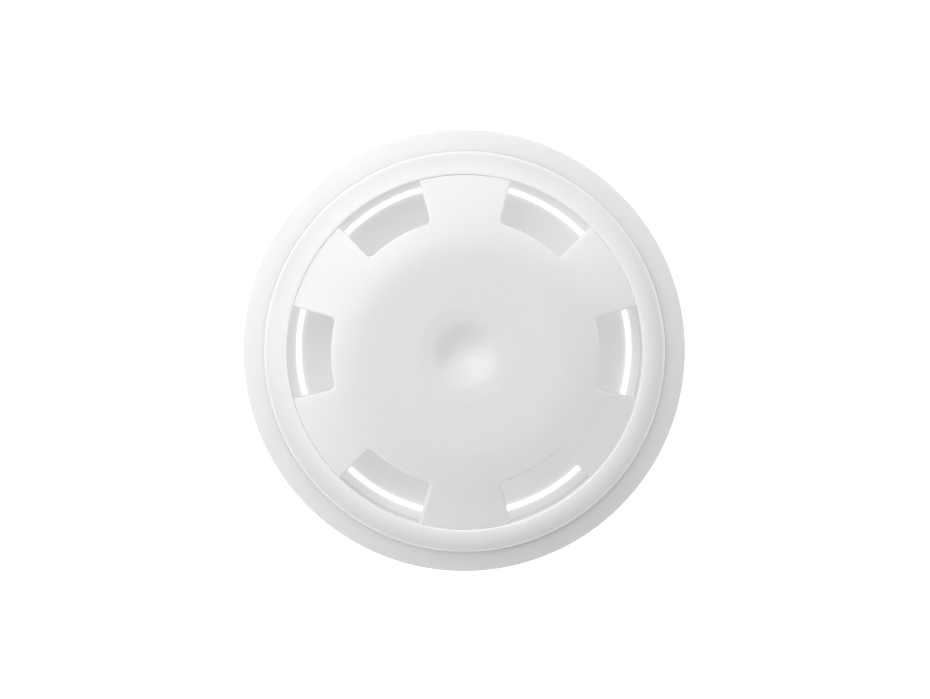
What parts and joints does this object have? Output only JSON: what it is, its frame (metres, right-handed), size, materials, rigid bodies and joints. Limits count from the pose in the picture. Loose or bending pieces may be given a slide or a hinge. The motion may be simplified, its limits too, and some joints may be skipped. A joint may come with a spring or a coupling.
{
  "type": "heat detector",
  "caption": "Compact round battery heat detector with a low domed push cap, air windows round the rim, a finger dimple and a twist-on mounting plate.",
  "frame": {"origin": "centre of the mounting plate's flat back, which goes against the ceiling", "axes": "+Z out of the ceiling face, through the centre of the push cap; +X through one air window and along the line of the two screw slots; +Y completes the right-handed set"},
  "size_m": [0.065, 0.065, 0.038],
  "materials": {
    "plate_plastic": "satin",
    "body_plastic": "satin, fine grain",
    "shield_plastic": "satin",
    "light_guide": "polished, milky",
    "board": "satin",
    "led_resin": "clear",
    "dark_plastic": "satin",
    "dark_resin": "cast",
    "tinned_steel": "bright",
    "spring_steel": "nickel plated",
    "cell_can": "bright",
    "cell_sleeve": "shrink film",
    "brass_sheet": "rolled",
    "ceramic": "fired"
  },
  "bodies": {
    "plate": {"mounting_plate": "plate_plastic"},
    "head": {"rear_housing": "body_plastic", "bezel_ring": "body_plastic", "inner_shield": "shield_plastic", "light_ring": "light_guide", "main_board": "board", "status_leds": "led_resin", "switch_body": "dark_plastic", "switch_terminals": "tinned_steel", "return_spring": "spring_steel", "thermistor_bead": "dark_resin", "thermistor_leads": "tinned_steel", "battery_can": "cell_can", "battery_sleeve": "cell_sleeve", "battery_contact_positive": "spring_steel", "battery_contact_negative": "spring_steel", "battery_spring": "spring_steel", "sounder_cup": "dark_plastic", "piezo_plate": "brass_sheet", "piezo_ceramic": "ceramic", "sounder_pins": "tinned_steel", "radio_board": "board", "radio_can": "tinned_steel", "antenna_strip": "tinned_steel", "microcontroller": "dark_resin", "reservoir_capacitor": "cell_can", "boost_coil": "dark_resin", "chip_parts": "ceramic", "board_screws": "spring_steel", "case_screws": "spring_steel"},
    "cap": {"push_cap": "body_plastic"},
    "plunger": {"switch_plunger": "dark_plastic"}
  },
  "joints": [
    {"name": "head_twist", "type": "hinge", "parent": "plate", "child": "head", "pos_m": [0, 0, 0], "axis": [0, 0, 1], "range_deg": [0, 20]},
    {"name": "cap_press", "type": "slide", "parent": "head", "child": "cap", "axis": [0, 0, -1], "range_m": [0, 0.0005], "stiffness_N_per_m": 400, "springref_m": -0.002, "deforming": ["return_spring"]},
    {"name": "plunger_press", "type": "slide", "parent": "head", "child": "plunger", "axis": [0, 0, -1], "range_m": [0, 0.0005]}
  ],
  "couplings": [
    {"joint": "plunger_press", "follows": "cap_press", "ratio": 1}
  ]
}
